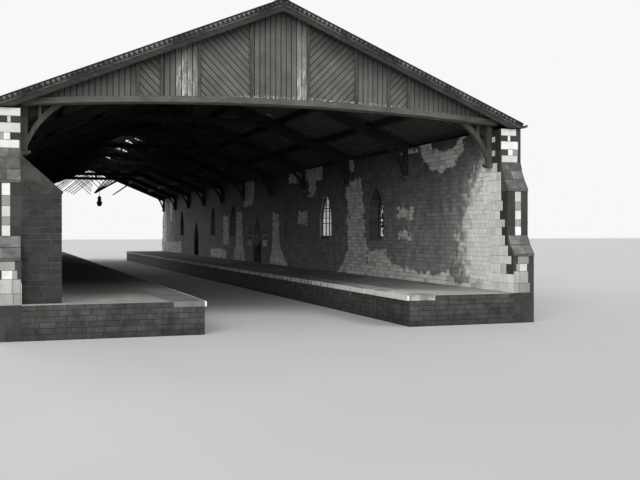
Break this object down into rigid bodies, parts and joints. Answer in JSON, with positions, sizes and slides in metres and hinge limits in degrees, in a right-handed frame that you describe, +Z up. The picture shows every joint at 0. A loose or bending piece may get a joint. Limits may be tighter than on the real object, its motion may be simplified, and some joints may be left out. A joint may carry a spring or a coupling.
{
  "type": "railway station train shed, 1:2 scale model",
  "caption": "Derelict railway train shed: masonry walls with pointed windows, stepped end piers, two platforms and a low slate roof with boarded gables, open at both ends.",
  "frame": {"origin": "centre of the bounding box at the level of the track bed", "axes": "+Z up, +Y along the track towards the far end that has lost its gable boards, +X towards the right-hand wall seen from the boarded near gable"},
  "size_m": [7.92, 32.4, 4.6638],
  "materials": {
    "masonry": "rough",
    "dressed_stone": "rough",
    "coping_stone": "rough",
    "slate": "matt",
    "ridge_tile": "matt",
    "old_timber": "matt",
    "gable_boards": "matt",
    "painted_timber": "matt",
    "iron": "matt",
    "glass": "dusty",
    "lamp": "satin"
  },
  "bodies": {
    "root": {"wall_footings": "masonry", "wall_dados": "masonry", "wall_window_lifts": "masonry", "wall_heads": "masonry", "blocked_windows": "masonry", "end_piers": "masonry", "outer_buttresses": "masonry", "inner_buttress": "masonry", "platform_right": "masonry", "platform_left": "masonry", "pier_upper_weatherings": "dressed_stone", "pier_lower_weatherings": "dressed_stone", "buttress_heads": "dressed_stone", "corbels": "dressed_stone", "window_sills": "dressed_stone", "copings": "coping_stone", "roof_slope_right": "slate", "roof_slope_left": "slate", "ridge_tiles": "ridge_tile", "principal_rafters_right": "old_timber", "principal_rafters_left": "old_timber", "collar_beams": "old_timber", "king_posts": "old_timber", "purlins": "old_timber", "ridge_board": "old_timber", "eaves_plates": "old_timber", "wall_posts": "old_timber", "gable_posts": "old_timber", "truss_braces": "old_timber", "gable_braces": "old_timber", "far_gable_slats": "old_timber", "loose_board": "old_timber", "upright_panels": "gable_boards", "slanting_panels": "gable_boards", "gable_studs": "gable_boards", "gable_beam": "painted_timber", "barge_boards_near": "painted_timber", "barge_boards_far": "painted_timber", "door_frames": "painted_timber", "door_boards": "painted_timber", "gutters": "iron", "window_frames": "iron", "lamp_rod": "iron", "window_glass": "glass", "hanging_lamp": "lamp"}
  },
  "joints": []
}
